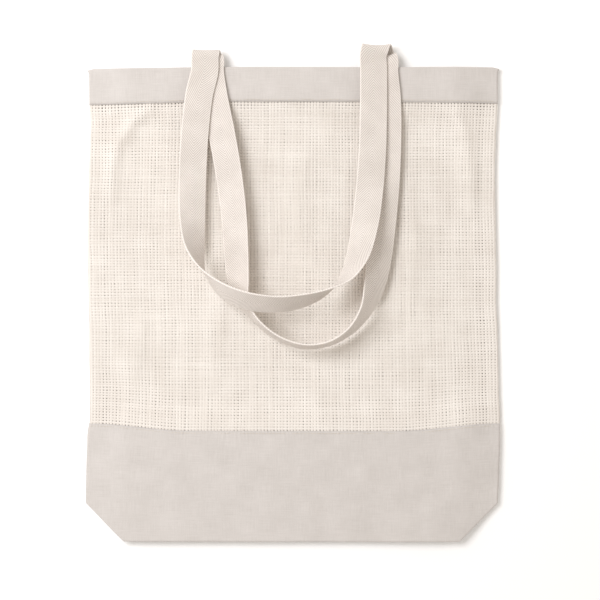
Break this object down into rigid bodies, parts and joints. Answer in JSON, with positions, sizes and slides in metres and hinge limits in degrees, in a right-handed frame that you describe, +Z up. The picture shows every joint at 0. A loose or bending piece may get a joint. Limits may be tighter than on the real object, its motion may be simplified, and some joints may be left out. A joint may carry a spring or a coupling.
{
  "type": "mesh produce bag",
  "caption": "Flat-lying cotton net shopping bag with canvas top band, canvas base with fold-in gusset and long tape handles that swing over the mouth.",
  "frame": {"origin": "middle of the bounding box's underside: under the bag as it lies flat, on the surface", "axes": "+X to the right of the front, +Y towards the mouth, +Z up, out of the front"},
  "size_m": [0.38, 0.4552, 0.0587],
  "materials": {
    "canvas": "natural plain-weave cotton canvas",
    "mesh": "open plain-weave cotton net",
    "seam": "turned-in layers of net and canvas",
    "tape": "natural herringbone cotton tape",
    "thread": "cotton sewing thread"
  },
  "bodies": {
    "bag": {"base_canvas": "canvas", "top_band_front": "canvas", "top_band_rear": "canvas", "mesh_panel_front": "mesh", "mesh_panel_rear": "mesh", "side_seam_left": "seam", "side_seam_right": "seam", "gusset_seam_left": "seam", "gusset_seam_right": "seam", "side_overlock_left": "thread", "side_overlock_right": "thread", "band_stitching_front": "thread", "band_stitching_rear": "thread", "base_stitching_front": "thread", "base_stitching_rear": "thread", "handle_tab_front_left": "tape", "handle_tab_front_right": "tape", "handle_tab_rear_left": "tape", "handle_tab_rear_right": "tape", "handle_stitching_front_left": "thread", "handle_stitching_front_right": "thread", "handle_stitching_rear_left": "thread", "handle_stitching_rear_right": "thread"},
    "handle_front": {"handle_front_loop": "tape"},
    "handle_rear": {"handle_rear_loop": "tape"}
  },
  "joints": [
    {"name": "handle_front_swing", "type": "hinge", "parent": "bag", "child": "handle_front", "pos_m": [0, 0.2214, 0.0086], "axis": [-1, 0, 0], "range_deg": [0, 165]},
    {"name": "handle_rear_swing", "type": "hinge", "parent": "bag", "child": "handle_rear", "pos_m": [0, 0.2214, 0.0086], "axis": [-1, 0, 0], "range_deg": [0, 165]}
  ],
  "couplings": [
    {"joint": "handle_rear_swing", "follows": "handle_front_swing", "ratio": 1}
  ]
}
